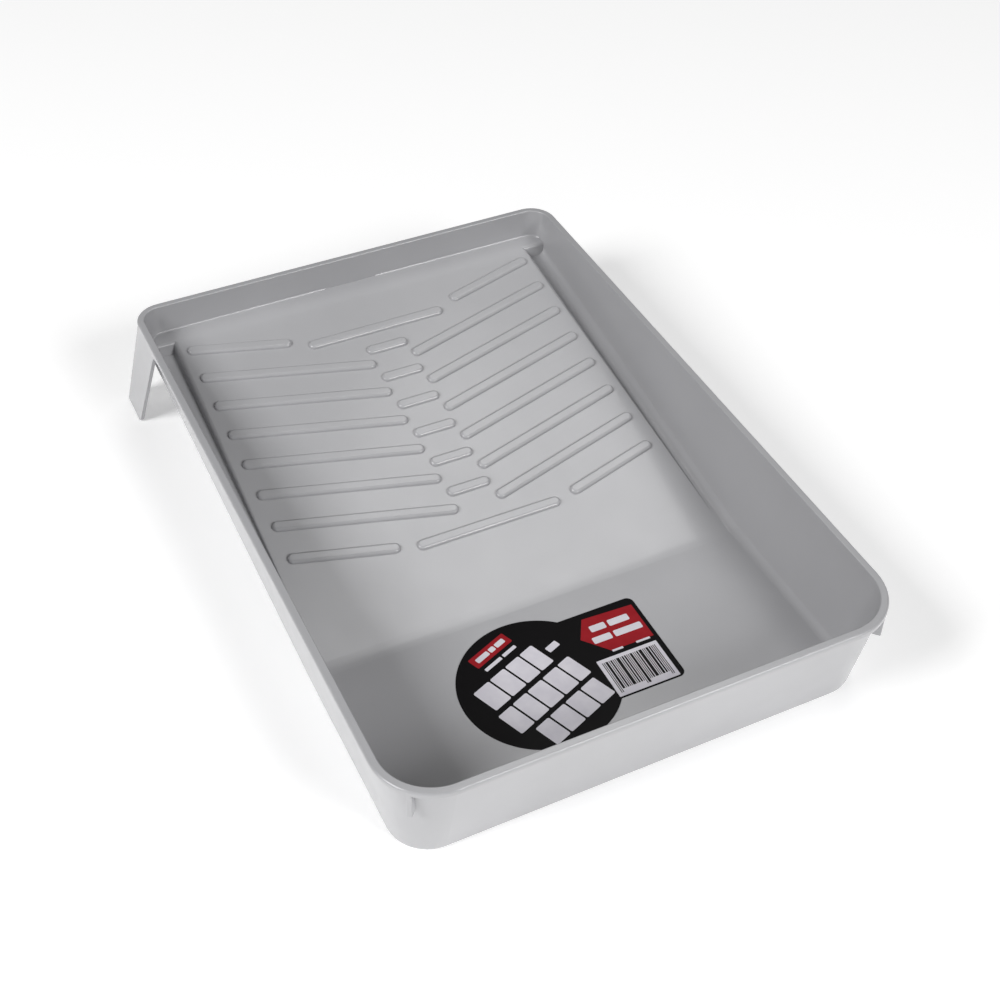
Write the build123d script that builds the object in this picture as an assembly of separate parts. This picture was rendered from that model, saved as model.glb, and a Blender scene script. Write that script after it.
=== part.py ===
# Paint roller tray, 11 inch class: one moulded plastic tray with a flat front well, a ribbed
# ramp, side gutters and two back legs, plus a die-cut adhesive label on the well floor.
# Frame: millimetres, +Z up, +Y from the well towards the legs, ground at Z = 0,
# origin under the middle of the overall rim.
from build123d import *
import math
import os

os.makedirs("parts", exist_ok=True)

# ---------------------------------------------------------------- driving dimensions
RIM_HEIGHT = 63.0          # top of the rim above the ground
OVERALL_LENGTH = 413.4     # over the rim, front to back
OVERALL_WIDTH = 283.8      # over the rim, side to side
LIP_WIDTH = 4.4            # flat rim, inner edge to outer edge
LIP_DEPTH = 3.8            # height of the rim's outer face
WALL = 2.2                 # moulding thickness
SIDE_DRAFT = 0.10          # inward lean of each side wall per unit of depth
BACK_DRAFT = 0.035
FRONT_DRAFT = 0.19
FRONT_CORNER = 28.0        # inner corner radius at the rim, well end
BACK_CORNER = 12.0         # inner corner radius at the rim, leg end
FRONT_CORNER_LOW = 20.0    # the same corners at floor level
BACK_CORNER_LOW = 3.0
RAMP_SLOPE = 0.1575        # rise per unit of run
WELL_LENGTH = 138.0        # rim's inner front edge to the foot of the ramp
FOOT_BLEND = 60.0          # radius where the well floor turns into the ramp
INNER_FILLET = 5.0         # floor to wall, inside, round the well and along the gutters
BACK_FILLET = 1.6          # ramp to wall, inside, at the leg end
BACK_PLAIN_HALF = 17.3     # half width of the middle of the back wall, where that edge is sharp
FILLET_CHANGE = 229.0      # the side fillets change size here, under the gutters
OUTER_FILLET = 3.5         # floor to wall, underneath
LIP_FILLET = 1.3           # outer top edge of the rim
LIP_INNER_FILLET = 0.6     # inner top edge of the rim
LIP_UNDER_FILLET = 0.8     # outer lower edge of the rim

GUTTER_FRONT = 155.0       # gutters run between these two distances from the inner front edge
GUTTER_BACK = 393.5
GUTTER_END_RUN = 2.0       # how far the back end of a gutter slopes over its depth
GUTTER_END_EDGE = 2.5      # rounding of that end's top edge
GUTTER_DEPTH = 7.0         # at the back end, fading to nothing at the front end
GUTTER_FADE = 0.25         # depth left at the front end
PANEL_EDGE = 3.0           # rounding of the panel's long edges where the gutter is deepest
GUTTER_CORNER = 1.5        # rounding between gutter floor and panel
PANEL_HALF_FRONT = 125.2   # half width of the ribbed panel at the gutters' front end
PANEL_HALF_BACK = 122.3    # and at their back end

RIB_WIDTH = 7.0
RIB_HEIGHT = 2.0
RIB_EDGE = 1.7             # rounding of the ribs' top edges
RIB_SINK = 0.8             # how far each rib is rooted in the panel
RIB_ROWS = 8               # long slanted ribs on each side
RIB_PITCH = 24.3           # row spacing along the tray
RIB_OUTER = 116.6          # outer end of a slanted rib from the centre line
RIB_INNER = 12.2           # inner end of a long slanted rib
RIB_SHORT_INNER = 54.5     # inner end of the first and last slanted rib
RIB_DROP = 27.3            # how far a long rib runs towards the well
RIB_FIRST_ROW = 383.0      # outer end of the first row from the inner front edge
CENTRE_RIBS = 6            # short straight ribs on the centre line
CENTRE_RIB_HALF = 13.7
CENTRE_RIB_FIRST = 343.3
CENTRE_RIB_PITCH = 24.1
CROSS_RIB_HALF = 45.5      # the two long straight ribs
CROSS_RIB_BACK = 360.2
CROSS_RIB_FRONT = 193.8

LEG_FLARE = 11.5           # how far a leg leans outwards from rim to ground
LEG_TOP_FRONT = 362.8      # front edge of a leg at the rim, from the inner front edge
LEG_FOOT_FRONT = 379.7     # and at the ground
LEG_TOE = 3.0              # rounding of the front lower corner of a leg
LEG_NOTCH = 4.0            # rounding where the leg's front edge meets the rim
LEG_WING = 14.0            # width of the part of a leg that turns round the back corner
LEG_FOOT_CORNER = 4.0      # outer corner radius at the ground

GUSSET_THICK = 2.8
GUSSET_DROP = 16.0         # below the middle of the rim's face
GUSSET_ANGLE = 46.0        # round the corner, from straight sideways towards the front

LABEL_THICK = 0.25
LABEL_RADIUS = 44.4        # round part of the label
LABEL_X = -24.7            # its centre
LABEL_Y = 81.3
TAB_RIGHT = 49.3           # square tab beside the round part
TAB_FRONT = 53.3
TAB_BACK = 115.5
TAB_CORNER = 4.0

# ---------------------------------------------------------------- derived sizes
HALF_WIDTH = OVERALL_WIDTH / 2 - LIP_WIDTH      # inner edge of the rim
INNER_LENGTH = OVERALL_LENGTH - 2 * LIP_WIDTH
FRONT_Y = -INNER_LENGTH / 2                     # inner front edge of the rim
BACK_Y = INNER_LENGTH / 2
FLOOR = WALL                                    # top face of the well floor
DEPTH = RIM_HEIGHT - FLOOR
FOOT_Y = FRONT_Y + WELL_LENGTH
RAMP_ANGLE = math.atan(RAMP_SLOPE)


def ramp_height(y):
    return FLOOR + RAMP_SLOPE * (y - FOOT_Y)


# ---------------------------------------------------------------- outlines and spaces
def rounded_wire(points, radii, place):
    """Closed wire round a polygon of (a, b) points with a radius for each corner.

    place turns an (a, b) pair into a point in space.
    """
    starts = []
    middles = []
    ends = []
    count = len(points)
    for i in range(count):
        here = Vector(*points[i])
        back = (Vector(*points[i - 1]) - here).normalized()
        ahead = (Vector(*points[(i + 1) % count]) - here).normalized()
        half_angle = math.radians(back.get_angle(ahead)) / 2
        reach = radii[i] / math.tan(half_angle)
        inward = (back + ahead).normalized()
        starts.append(here + back * reach)
        ends.append(here + ahead * reach)
        middles.append(here + inward * (radii[i] / math.sin(half_angle) - radii[i]))
    edges = []
    for i in range(count):
        edges.append(Line(place(*tuple(ends[i - 1])[:2]), place(*tuple(starts[i])[:2])))
        if radii[i] > 0:
            arc = [place(*tuple(p)[:2]) for p in (starts[i], middles[i], ends[i])]
            edges.append(ThreePointArc(*arc))
    return Wire(edges)


def flat_outline(half, front, back, front_r, back_r, z):
    """Level outline with two front corners and two back corners of their own radii."""
    corners = [(-half, front), (half, front), (half, back), (-half, back)]
    return rounded_wire(corners, [front_r, front_r, back_r, back_r], lambda x, y: (x, y, z))


def tray_outline(z, grow):
    """Outline of the tray at height z, moved outwards by grow."""
    down = RIM_HEIGHT - z
    share = down / DEPTH
    half = HALF_WIDTH - SIDE_DRAFT * down + grow
    front = FRONT_Y + FRONT_DRAFT * down - grow
    back = BACK_Y - BACK_DRAFT * down + grow
    front_r = FRONT_CORNER + (FRONT_CORNER_LOW - FRONT_CORNER) * share + grow
    back_r = BACK_CORNER + (BACK_CORNER_LOW - BACK_CORNER) * share + grow
    return flat_outline(half, front, back, front_r, back_r, z)


def tray_block(low, high, grow):
    """Solid between two tray outlines."""
    return Solid.make_loft([tray_outline(low, grow), tray_outline(high, grow)], True)


def above_floor(drop):
    """Everything above the well floor and the ramp, both lowered by drop."""
    far = BACK_Y + 40
    near = FRONT_Y - 40
    top = RIM_HEIGHT + 20
    corners = [
        (near, FLOOR - drop),
        (FOOT_Y, FLOOR - drop),
        (far, ramp_height(far) - drop),
        (far, top),
        (near, top),
    ]
    wire = rounded_wire(corners, [0, FOOT_BLEND, 0, 0, 0], lambda y, z: (0, y, z))
    return extrude(Face(wire), amount=OVERALL_WIDTH, dir=(1, 0, 0), both=True)


def basin(grow, edge):
    """Walls, well floor and ramp moved outwards by grow, with a rounded foot."""
    body = (tray_block(FLOOR - grow, RIM_HEIGHT, grow) & above_floor(grow)).solids()[0]
    foot = []
    for e in body.edges():
        c = e.center()
        if -80 < c.Y < -40 and abs(c.X) < 1:
            continue
        if c.Z < max(ramp_height(c.Y), FLOOR) - grow + 1.6:
            foot.append(e)
    return body.fillet(edge, foot)


def block(x0, x1, y0, y1):
    """Upright box over part of the tray, taller than the tray."""
    face = make_face(Polyline([(x0, y0, 0), (x1, y0, 0), (x1, y1, 0), (x0, y1, 0)], close=True))
    return extrude(face, amount=2 * RIM_HEIGHT, dir=(0, 0, 1))


def hollow():
    """Space inside the walls, whose foot is rounded differently in the well and at the leg end."""
    change = FRONT_Y + FILLET_CHANGE
    side = OVERALL_WIDTH
    far = OVERALL_LENGTH
    middle = BACK_PLAIN_HALF
    well = basin(0, INNER_FILLET) & block(-side, side, -far, change)
    leg_end = basin(0, BACK_FILLET) - block(-side, side, -far, change) - block(-middle, middle, -far, far)
    plain = tray_block(FLOOR, RIM_HEIGHT, 0) & above_floor(0) & block(-middle, middle, change, far)
    channels = gutters(0) & tray_block(FLOOR, RIM_HEIGHT, 0) & ahead_of_gutter_ends()
    return well + leg_end + plain + channels


def panel_half(y):
    """Half width of the ribbed panel."""
    share = (y - FRONT_Y - GUTTER_FRONT) / (GUTTER_BACK - GUTTER_FRONT)
    return PANEL_HALF_FRONT + (PANEL_HALF_BACK - PANEL_HALF_FRONT) * share


def gutter_section(y, depth, grow):
    """Cross section of the right gutter at y, from its floor to just above the ramp."""
    level = ramp_height(y)
    floor = level - depth - grow
    top = level + INNER_FILLET + 2
    side = panel_half(y) - grow
    share = depth / GUTTER_DEPTH
    corners = [
        (side - 2 * PANEL_EDGE, top),
        (side - 2 * PANEL_EDGE, level - grow),
        (side, level - grow),
        (side, floor),
        (HALF_WIDTH - SIDE_DRAFT * (RIM_HEIGHT - floor) + grow, floor),
        (HALF_WIDTH - SIDE_DRAFT * (RIM_HEIGHT - top) + grow, top),
    ]
    edge = max(PANEL_EDGE * share - grow, 0.1)
    low_corner = (GUTTER_CORNER + grow) * share
    wall_corner = INNER_FILLET if grow == 0 else OUTER_FILLET
    radii = [0, 0, edge, low_corner, wall_corner, 0]
    return rounded_wire(corners, radii, lambda x, z: (x, y, z))


def gutters(grow):
    """Both side gutters, enlarged by grow and running a little past their back ends."""
    front = FRONT_Y + GUTTER_FRONT
    back = FRONT_Y + GUTTER_BACK + 2 * GUTTER_END_EDGE + grow
    stations = [(front, GUTTER_FADE), (back, GUTTER_DEPTH)]
    right = Solid.make_loft([gutter_section(y, depth, grow) for y, depth in stations], True)
    return right + mirror(right, about=Plane.YZ)


def ahead_of_gutter_ends():
    """Space in front of the gutters' sloping back ends, flaring backwards at the panel surface."""
    edge = FRONT_Y + GUTTER_BACK
    level = ramp_height(edge)
    far = edge + 2 * GUTTER_END_EDGE
    top = RIM_HEIGHT + 20
    corners = [
        (FRONT_Y, 0),
        (edge - GUTTER_END_RUN * level / GUTTER_DEPTH, 0),
        (edge, level),
        (far, ramp_height(far)),
        (far, top),
        (FRONT_Y, top),
    ]
    wire = rounded_wire(corners, [0, 0, GUTTER_END_EDGE, 0, 0, 0], lambda y, z: (0, y, z))
    return extrude(Face(wire), amount=OVERALL_WIDTH, dir=(1, 0, 0), both=True)


# ---------------------------------------------------------------- rim, legs and gussets
def rim():
    """Flat lip round the top, rounded on its outer edges."""
    outer = extrude(Face(tray_outline(RIM_HEIGHT, LIP_WIDTH)), amount=LIP_DEPTH, dir=(0, 0, -1)).solid()
    outer = outer.fillet(LIP_FILLET, outer.faces().sort_by(Axis.Z)[-1].edges())
    return outer.fillet(LIP_UNDER_FILLET, outer.faces().sort_by(Axis.Z)[0].edges())


def leg_outline(z, inset):
    """Outline that carries the outer faces of both legs at height z."""
    share = z / (RIM_HEIGHT - LIP_DEPTH)
    half = HALF_WIDTH + LIP_WIDTH + LEG_FLARE * (1 - share) - inset
    back = BACK_Y + LIP_WIDTH - inset
    corner = LEG_FOOT_CORNER + (BACK_CORNER + LIP_WIDTH - LEG_FOOT_CORNER) * share - inset
    return flat_outline(half, FRONT_Y, back, corner, corner, z)


def leg_block(inset):
    top = RIM_HEIGHT - LIP_DEPTH / 2
    return Solid.make_loft([leg_outline(0, inset), leg_outline(top, inset)], True)


def legs():
    """Two thin corner plates that lean outwards from the rim to the ground."""
    shell = leg_block(0) - leg_block(WALL)
    top = RIM_HEIGHT
    far = BACK_Y + 2 * LIP_WIDTH
    under_rim = RIM_HEIGHT - LIP_DEPTH
    ahead = FRONT_Y + LEG_TOP_FRONT - 2 * LEG_NOTCH
    side = [
        (ahead, top),
        (ahead, under_rim),
        (FRONT_Y + LEG_TOP_FRONT, under_rim),
        (FRONT_Y + LEG_FOOT_FRONT, 0),
        (far, 0),
        (far, top),
    ]
    side_wire = rounded_wire(side, [0, 0, LEG_NOTCH, LEG_TOE, 0, 0], lambda y, z: (0, y, z))
    band = extrude(Face(side_wire), amount=OVERALL_WIDTH, dir=(1, 0, 0), both=True)
    wide = OVERALL_WIDTH
    top_half = HALF_WIDTH + LIP_WIDTH - LEG_WING
    wings = [
        (top_half, top),
        (top_half + LEG_FLARE, 0),
        (wide, 0),
        (wide, top),
    ]
    wing_wire = rounded_wire(wings, [0, 0, 0, 0], lambda x, z: (x, far, z))
    right = extrude(Face(wing_wire), amount=OVERALL_LENGTH, dir=(0, -1, 0))
    both = right + mirror(right, about=Plane.YZ)
    return shell & band & both


def gussets():
    """One small upright tab under the rim at each front corner."""
    reach = FRONT_CORNER + LIP_WIDTH - 0.4
    root = FRONT_CORNER - 4
    height = GUSSET_DROP + LIP_DEPTH / 2
    tab = Box(reach - root, GUSSET_THICK, height, align=(Align.MIN, Align.CENTER, Align.MAX))
    tab = fillet(tab.edges().filter_by(Axis.Z), 0.5)
    place = Location((root, 0, 0))
    corner = (HALF_WIDTH - FRONT_CORNER, FRONT_Y + FRONT_CORNER, RIM_HEIGHT - LIP_DEPTH / 2)
    right = Location(corner, (0, 0, -GUSSET_ANGLE)) * place * tab
    return right + mirror(right, about=Plane.YZ)


# ---------------------------------------------------------------- ribs
def capsule(length):
    """Rib lying along X with round ends and a rounded top, rooted in the ramp."""
    blank = Box(length, RIB_WIDTH, RIB_HEIGHT + RIB_SINK, align=(Align.CENTER, Align.CENTER, Align.MIN))
    blank = Location((0, 0, -RIB_SINK)) * blank
    blank = fillet(blank.edges().filter_by(Axis.Z), RIB_WIDTH / 2 - 0.01)
    return fillet(blank.faces().sort_by(Axis.Z)[-1].edges(), RIB_EDGE)


def on_ramp(x, run, turn):
    """Place on the ramp surface: x, level distance from the inner front edge, turn about the normal."""
    y = FRONT_Y + run
    return Location((x, y, ramp_height(y)), (math.degrees(RAMP_ANGLE), 0, 0)) * Location((0, 0, 0), (0, 0, turn))


def slanted_ribs(run, inner, rib):
    """One pair of ribs whose outer tips are at run, falling towards the well."""
    span = RIB_OUTER - inner
    drop = span * RIB_DROP / (RIB_OUTER - RIB_INNER)
    turn = math.degrees(math.atan2(drop / math.cos(RAMP_ANGLE), span))
    middle = (RIB_OUTER + inner) / 2
    right = on_ramp(middle, run - drop / 2, turn) * rib
    left = on_ramp(-middle, run - drop / 2, -turn) * rib
    return [right, left]


def ribs():
    rise = RIB_DROP / (RIB_OUTER - RIB_INNER)
    stretch = math.hypot(1, rise)
    long_rib = capsule((RIB_OUTER - RIB_INNER) * stretch)
    short_rib = capsule((RIB_OUTER - RIB_SHORT_INNER) * stretch)
    centre_rib = capsule(2 * CENTRE_RIB_HALF)
    cross_rib = capsule(2 * CROSS_RIB_HALF)
    found = []
    for row in range(RIB_ROWS):
        run = RIB_FIRST_ROW - row * RIB_PITCH
        if row in (0, RIB_ROWS - 1):
            found += slanted_ribs(run, RIB_SHORT_INNER, short_rib)
        else:
            found += slanted_ribs(run, RIB_INNER, long_rib)
    for row in range(CENTRE_RIBS):
        found.append(on_ramp(0, CENTRE_RIB_FIRST - row * CENTRE_RIB_PITCH, 0) * centre_rib)
    for run in (CROSS_RIB_BACK, CROSS_RIB_FRONT):
        found.append(on_ramp(0, run, 0) * cross_rib)
    return found


# ---------------------------------------------------------------- the two pieces
def tray():
    shell = basin(WALL, OUTER_FILLET) + gutters(WALL) + rim() + gussets() + legs()
    body = (shell - hollow()).solid()
    inner_edges = []
    for e in body.edges():
        c = e.center()
        if c.Z > RIM_HEIGHT - 0.01 and abs(c.X) < HALF_WIDTH + 0.1 and FRONT_Y - 0.1 < c.Y < BACK_Y + 0.1:
            inner_edges.append(e)
    body = body.fillet(LIP_INNER_FILLET, inner_edges)
    for rib in ribs():
        body = body + rib
    return body


def label():
    """Round label with a square tab on its right, lying on the well floor."""
    disc = Circle(LABEL_RADIUS)
    tab_length = TAB_RIGHT - LABEL_X
    tab_width = TAB_BACK - TAB_FRONT
    tab = Location((tab_length / 2, (TAB_BACK + TAB_FRONT) / 2 - LABEL_Y)) * RectangleRounded(
        tab_length, tab_width, TAB_CORNER
    )
    shape = Location((LABEL_X, FRONT_Y + LABEL_Y, FLOOR)) * (disc + tab)
    return extrude(shape, amount=LABEL_THICK, dir=(0, 0, 1))


export_step(tray(), "parts/tray_body.step")
export_step(label(), "parts/label.step")
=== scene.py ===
import math

import bmesh
import bpy
from mathutils import Matrix, Vector


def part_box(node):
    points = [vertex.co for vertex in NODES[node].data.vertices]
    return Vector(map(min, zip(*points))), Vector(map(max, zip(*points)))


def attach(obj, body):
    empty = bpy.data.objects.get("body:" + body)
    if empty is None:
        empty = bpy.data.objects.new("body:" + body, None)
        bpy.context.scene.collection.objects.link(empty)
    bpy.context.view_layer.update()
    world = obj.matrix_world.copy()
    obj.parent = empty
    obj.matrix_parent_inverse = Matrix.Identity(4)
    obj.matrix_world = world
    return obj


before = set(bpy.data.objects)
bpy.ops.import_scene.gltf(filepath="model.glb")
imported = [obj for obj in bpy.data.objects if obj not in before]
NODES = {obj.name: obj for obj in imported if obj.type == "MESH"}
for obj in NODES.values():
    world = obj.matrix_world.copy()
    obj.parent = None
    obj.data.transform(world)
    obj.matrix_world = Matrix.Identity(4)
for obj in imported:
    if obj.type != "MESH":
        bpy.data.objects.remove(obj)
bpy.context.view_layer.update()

# ---------------------------------------------------------------- places taken from the frame
MM = 0.001
tray_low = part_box("tray_body")[0]
label_low, label_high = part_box("label")

# ---------------------------------------------------------------- camera
CAMERA_AZIMUTH = math.radians(-26.457)
CAMERA_ELEVATION = math.radians(43.278)
CAMERA_ROLL = math.radians(0.87)
CAMERA_DISTANCE = 0.906
CAMERA_LENS = 57.52        # millimetres, on a sensor of the width below
CAMERA_SENSOR = 36.0
AIM = Vector((0.0042, -0.0128, 0.0315))


def make_camera():
    data = bpy.data.cameras.new("camera")
    data.lens = CAMERA_LENS
    data.sensor_width = CAMERA_SENSOR
    data.clip_start = 0.02
    data.clip_end = 20.0
    camera = bpy.data.objects.new("camera", data)
    bpy.context.scene.collection.objects.link(camera)
    back = Vector((
        math.sin(CAMERA_AZIMUTH) * math.cos(CAMERA_ELEVATION),
        -math.cos(CAMERA_AZIMUTH) * math.cos(CAMERA_ELEVATION),
        math.sin(CAMERA_ELEVATION),
    ))
    place = Matrix.Translation(AIM + back * CAMERA_DISTANCE)
    turn = (-back).to_track_quat("-Z", "Y").to_matrix().to_4x4()
    roll = Matrix.Rotation(CAMERA_ROLL, 4, "Z")
    camera.matrix_world = place @ turn @ roll
    bpy.context.scene.camera = camera


# ---------------------------------------------------------------- light and floor
LAMP_DISTANCE = 3.0
LAMP_AIM = Vector((0.0, 0.0, 0.03))
# name, azimuth, elevation, width and height of the lamp in metres, power in watts
LAMPS = (
    ("front_right", 25, 36, 1.2, 1.0, 45.0),
    ("left", -84, 40, 1.1, 1.1, 56.0),
    ("back_right", 135, 62, 1.1, 1.1, 12.0),
    ("front_left", -30, 30, 0.9, 0.9, 3.0),
)
WORLD_STRENGTH = 0.02
FLOOR_HALF = 3.0
FLOOR_GAP = 0.2 * MM       # how far the floor lies under the tray, so that the faces don't flicker
FLOOR_WHITE = 0.93
FLOOR_GLOW = 0.32          # lifts the floor to the white of a studio sweep


def area_light(name, place, width, height, power):
    data = bpy.data.lights.new(name, "AREA")
    data.shape = "RECTANGLE"
    data.size = width
    data.size_y = height
    data.energy = power
    lamp = bpy.data.objects.new(name, data)
    bpy.context.scene.collection.objects.link(lamp)
    lamp.location = place
    lamp.rotation_mode = "QUATERNION"
    lamp.rotation_quaternion = (LAMP_AIM - place).to_track_quat("-Z", "Y")


def lamp_place(azimuth, elevation):
    """Degrees: azimuth 0 is in front of the well and 90 to its right, elevation is above the floor."""
    a = math.radians(azimuth)
    e = math.radians(elevation)
    return Vector((math.sin(a) * math.cos(e), -math.cos(a) * math.cos(e), math.sin(e))) * LAMP_DISTANCE


def make_lights():
    """A key box in front on the right, one beside the left wall and two weak ones."""
    for name, azimuth, elevation, width, height, power in LAMPS:
        area_light(name, lamp_place(azimuth, elevation), width, height, power)


def make_world():
    world = bpy.data.worlds.new("studio")
    bpy.context.scene.world = world
    world.use_nodes = True
    sky = world.node_tree.nodes["Background"]
    sky.inputs["Color"].default_value = (1.0, 1.0, 1.0, 1.0)
    sky.inputs["Strength"].default_value = WORLD_STRENGTH


def make_floor():
    mesh = bpy.data.meshes.new("floor")
    half = FLOOR_HALF
    corners = [(-half, -half, 0), (half, -half, 0), (half, half, 0), (-half, half, 0)]
    mesh.from_pydata(corners, [], [(0, 1, 2, 3)])
    floor = bpy.data.objects.new("floor", mesh)
    bpy.context.scene.collection.objects.link(floor)
    floor.location.z = tray_low.z - FLOOR_GAP
    material = bpy.data.materials.new("floor_white")
    material.use_nodes = True
    shader = material.node_tree.nodes["Principled BSDF"]
    shader.inputs["Base Color"].default_value = (FLOOR_WHITE, FLOOR_WHITE, FLOOR_WHITE, 1.0)
    shader.inputs["Roughness"].default_value = 0.9
    shader.inputs["Specular IOR Level"].default_value = 0.1
    shader.inputs["Emission Color"].default_value = (1.0, 1.0, 1.0, 1.0)
    shader.inputs["Emission Strength"].default_value = FLOOR_GLOW
    mesh.materials.append(material)


# ---------------------------------------------------------------- materials
def new_material(name):
    material = bpy.data.materials.new(name)
    material.use_nodes = True
    return material, material.node_tree, material.node_tree.nodes["Principled BSDF"]


def noise(tree, scale, detail, vector):
    node = tree.nodes.new("ShaderNodeTexNoise")
    node.inputs["Scale"].default_value = scale
    node.inputs["Detail"].default_value = detail
    tree.links.new(vector, node.inputs["Vector"])
    return node.outputs["Fac"]


def ramp(tree, fac, low, high, first, last):
    """Blends from the first colour to the last as fac goes from low to high."""
    node = tree.nodes.new("ShaderNodeValToRGB")
    node.color_ramp.elements[0].position = low
    node.color_ramp.elements[1].position = high
    node.color_ramp.elements[0].color = first
    node.color_ramp.elements[1].color = last
    tree.links.new(fac, node.inputs["Fac"])
    return node.outputs["Color"]


def span(tree, fac, low, high, first, last):
    """Maps fac from low..high to first..last."""
    node = tree.nodes.new("ShaderNodeMapRange")
    node.inputs["From Min"].default_value = low
    node.inputs["From Max"].default_value = high
    node.inputs["To Min"].default_value = first
    node.inputs["To Max"].default_value = last
    tree.links.new(fac, node.inputs["Value"])
    return node.outputs["Result"]


def bump(tree, shader, layers):
    """Stacks (height, strength, distance) layers and joins them to the shader's normal."""
    last = None
    for height, strength, distance in layers:
        node = tree.nodes.new("ShaderNodeBump")
        node.inputs["Strength"].default_value = strength
        node.inputs["Distance"].default_value = distance
        tree.links.new(height, node.inputs["Height"])
        if last is not None:
            tree.links.new(last, node.inputs["Normal"])
        last = node.outputs["Normal"]
    tree.links.new(last, shader.inputs["Normal"])


def tray_plastic():
    """Light grey moulded polypropylene: fine matt grain, faint flow marks, satin sheen with a thin gloss."""
    material, tree, shader = new_material("tray_plastic")
    here = tree.nodes.new("ShaderNodeTexCoord").outputs["Object"]
    cloud = noise(tree, 14.0, 3.0, here)
    grain = noise(tree, 2200.0, 2.0, here)
    ripple = noise(tree, 60.0, 2.0, here)
    light = (0.462, 0.462, 0.476, 1.0)
    dark = (0.434, 0.434, 0.448, 1.0)
    tree.links.new(ramp(tree, cloud, 0.3, 0.7, dark, light), shader.inputs["Base Color"])
    tree.links.new(span(tree, ripple, 0.3, 0.7, 0.29, 0.36), shader.inputs["Roughness"])
    shader.inputs["IOR"].default_value = 1.49
    shader.inputs["Specular IOR Level"].default_value = 0.6
    shader.inputs["Coat Weight"].default_value = 0.5
    shader.inputs["Coat Roughness"].default_value = 0.15
    bump(tree, shader, [(ripple, 0.25, 0.0002), (grain, 0.12, 0.00005)])
    return material


def film_black():
    """Black printed film: near-black ink under a thin varnish with faint unevenness."""
    material, tree, shader = new_material("film_black")
    here = tree.nodes.new("ShaderNodeTexCoord").outputs["Object"]
    cloud = noise(tree, 55.0, 2.0, here)
    grain = noise(tree, 900.0, 2.0, here)
    first = (0.0022, 0.0018, 0.0022, 1.0)
    last = (0.0038, 0.0032, 0.0038, 1.0)
    tree.links.new(ramp(tree, cloud, 0.3, 0.7, first, last), shader.inputs["Base Color"])
    tree.links.new(span(tree, cloud, 0.3, 0.7, 0.34, 0.42), shader.inputs["Roughness"])
    shader.inputs["Specular IOR Level"].default_value = 0.10
    bump(tree, shader, [(grain, 0.06, 0.00003)])
    return material


def ink(name, dark, light, speckle):
    """Flat printing ink whose density varies a little, as a litho print does."""
    material, tree, shader = new_material(name)
    here = tree.nodes.new("ShaderNodeTexCoord").outputs["Object"]
    cloud = noise(tree, 120.0, 2.0, here)
    grain = noise(tree, speckle, 2.0, here)
    tree.links.new(ramp(tree, cloud, 0.3, 0.7, dark, light), shader.inputs["Base Color"])
    tree.links.new(span(tree, grain, 0.3, 0.7, 0.38, 0.5), shader.inputs["Roughness"])
    shader.inputs["Specular IOR Level"].default_value = 0.18
    bump(tree, shader, [(grain, 0.05, 0.00003)])
    return material


def repaint(node, material):
    """Gives a CAD node the material, leaving its mesh alone."""
    mesh = NODES[node].data
    mesh.materials.clear()
    mesh.materials.append(material)


# ---------------------------------------------------------------- label artwork
LABEL_TOP = label_high.z
LABEL_RADIUS = (label_high.y - label_low.y) / 2
LABEL_CENTRE = Vector((label_low.x + LABEL_RADIUS, (label_low.y + label_high.y) / 2))
PRINT_ANGLE = math.radians(22.5)
INK = 0.04 * MM            # thickness of one printed layer
CORNER_STEPS = 5
BLOCK_GAP = 1.2
BAR_GAP = 1.2              # between stripes, in units of the narrowest stripe
GUARD_BARS = (0, 1, 12, 13, 23, 24)    # the stripes that reach lower


def rounded_box(x0, x1, y0, y1, radius):
    """Outline of a box with rounded corners, anticlockwise, in millimetres."""
    points = []
    centres = (
        (x1 - radius, y1 - radius),
        (x0 + radius, y1 - radius),
        (x0 + radius, y0 + radius),
        (x1 - radius, y0 + radius),
    )
    for quarter, (cx, cy) in enumerate(centres):
        for step in range(CORNER_STEPS + 1):
            angle = math.pi / 2 * (quarter + step / CORNER_STEPS)
            points.append((cx + radius * math.cos(angle), cy + radius * math.sin(angle)))
    return points


def turned(points):
    """The same outline along the slanted print direction."""
    c = math.cos(PRINT_ANGLE)
    s = math.sin(PRINT_ANGLE)
    return [(x * c - y * s, x * s + y * c) for x, y in points]


def print_piece(name, outlines, level, material):
    """A printed layer, the first or second on the label, from outlines in mm about the disc's centre."""
    shape = bmesh.new()
    low = LABEL_TOP + INK * (level - 1)
    for outline in outlines:
        base = [shape.verts.new((LABEL_CENTRE.x + x * MM, LABEL_CENTRE.y + y * MM, low)) for x, y in outline]
        face = shape.faces.new(base)
        grown = bmesh.ops.extrude_face_region(shape, geom=[face])
        lifted = [v for v in grown["geom"] if isinstance(v, bmesh.types.BMVert)]
        bmesh.ops.translate(shape, vec=(0, 0, INK), verts=lifted)
    bmesh.ops.recalc_face_normals(shape, faces=shape.faces)
    mesh = bpy.data.meshes.new(name)
    shape.to_mesh(mesh)
    shape.free()
    mesh.materials.append(material)
    piece = bpy.data.objects.new(name, mesh)
    bpy.context.scene.collection.objects.link(piece)
    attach(piece, "root")


def blocks(start, end, low, high, widths, gap, radius):
    """A row of blocks between start and end whose widths share the space in the given proportions."""
    unit = (end - start - gap * (len(widths) - 1)) / sum(widths)
    row = []
    at = start
    for width in widths:
        row.append(rounded_box(at, at + width * unit, low, high, radius))
        at += width * unit + gap
    return row


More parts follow.
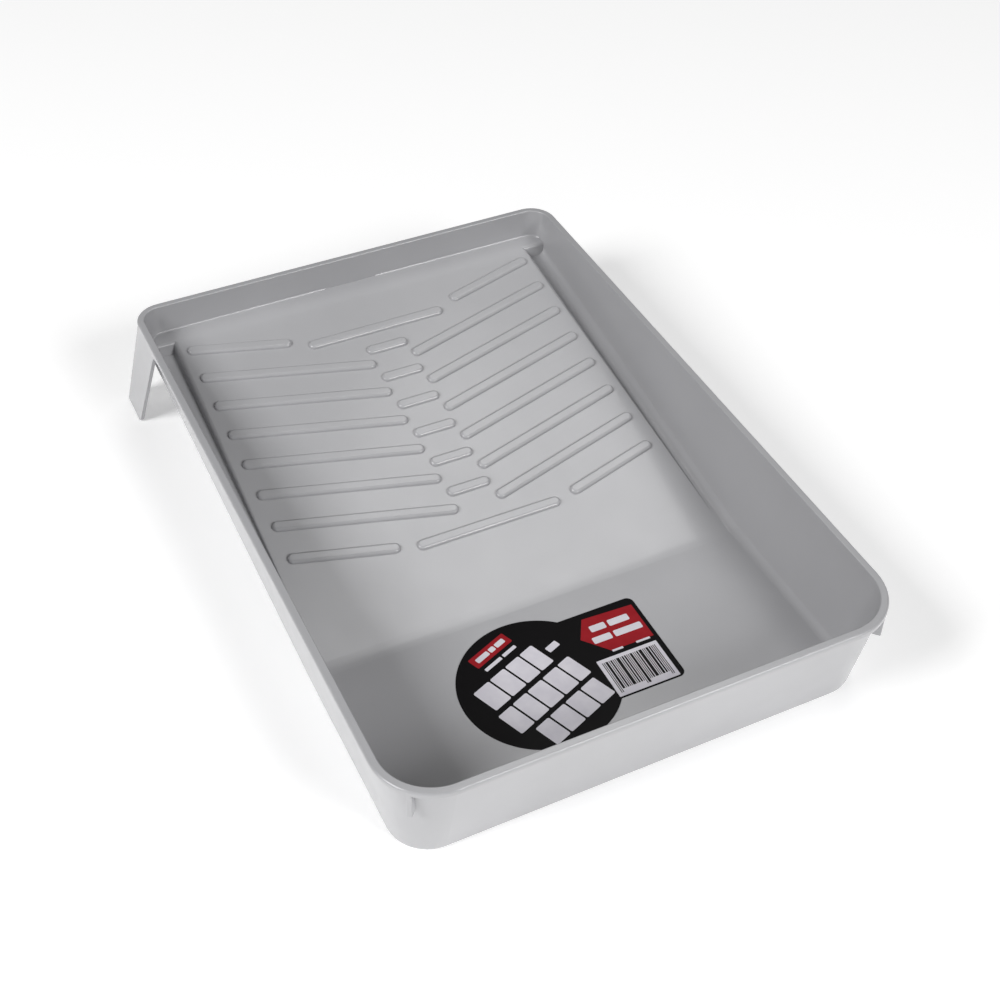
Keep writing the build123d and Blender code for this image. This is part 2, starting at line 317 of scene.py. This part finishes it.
def slanted_rows():
    """Three heavy rows of plain blocks, a small one beside the first, and two fine rows above."""
    rows = blocks(-29.5, 16.8, 4.1, 20.6, (5, 4.6, 4.4, 4), BLOCK_GAP, 1.0)
    rows += [rounded_box(20.0, 28.0, 9.2, 13.4, 0.6)]
    rows += blocks(-32.0, 24.3, -15.8, 0.8, (4.6, 4.8, 5, 5, 4), BLOCK_GAP, 1.0)
    rows += blocks(-25.0, 22.0, -34.0, -18.7, (4.4, 4.8, 4.8, 4.6), BLOCK_GAP, 1.0)
    rows += blocks(-13.0, 10.8, 25.4, 27.6, (5, 4), 1.4, 0.5)
    rows += blocks(-11.6, 9.8, 32.6, 35.8, (7, 3, 5), 1.0, 0.7)
    return [turned(row) for row in rows]


def panel_rows():
    """Two short rows of blocks on the red panel, and two small marks under them."""
    rows = blocks(42.0, 65.8, 19.4, 23.9, (3, 4), 1.8, 0.8)
    rows += blocks(39.6, 69.6, 11.2, 15.7, (4, 6), 1.8, 0.8)
    rows += [rounded_box(45.8, 52.4, 2.3, 3.7, 0.3), rounded_box(60.5, 69.0, 2.3, 3.7, 0.3)]
    return rows


def stripe_code():
    """Upright stripes of four widths, standing for a bar code, with no digits."""
    steps = (1, 1, 3, 1, 2, 1, 1, 4, 1, 2, 2, 1, 1, 3, 1, 1, 2, 4, 1, 1, 3, 2, 1, 1, 1)
    unit = 33.0 / (sum(steps) + len(steps) * BAR_GAP)
    bars = []
    at = 36.2
    for place, step in enumerate(steps):
        width = step * unit
        foot = -24.8 if place in GUARD_BARS else -22.6
        bars.append([(at, foot), (at + width, foot), (at + width, -2.6), (at, -2.6)])
        at += width + BAR_GAP * unit
    return bars


def red_shapes():
    """The slanted tag on the disc and the five-sided panel on the tab."""
    tag = turned(rounded_box(-14.6, 12.6, 30.2, 38.2, 0.8))
    panel = [(71.6, 3.4), (71.6, 28.6), (41.2, 30.2), (33.8, 17.2), (45.6, 3.4)]
    return [tag, panel]


def print_label():
    white = ink("ink_white", (0.66, 0.64, 0.70, 1.0), (0.74, 0.72, 0.77, 1.0), 700.0)
    red = ink("ink_red", (0.29, 0.006, 0.012, 1.0), (0.34, 0.009, 0.016, 1.0), 700.0)
    black = ink("ink_black", (0.006, 0.005, 0.006, 1.0), (0.010, 0.009, 0.010, 1.0), 700.0)
    print_piece("label_red_print", red_shapes(), 1, red)
    print_piece("label_white_print", slanted_rows() + panel_rows(), 2, white)
    print_piece("label_code_panel", [rounded_box(34.0, 70.8, -27.0, -0.2, 0.4)], 1, white)
    print_piece("label_code_stripes", stripe_code(), 2, black)


repaint("tray_body", tray_plastic())
repaint("label", film_black())
print_label()

make_camera()
make_floor()
make_world()
make_lights()
bpy.context.scene.view_settings.view_transform = "Standard"
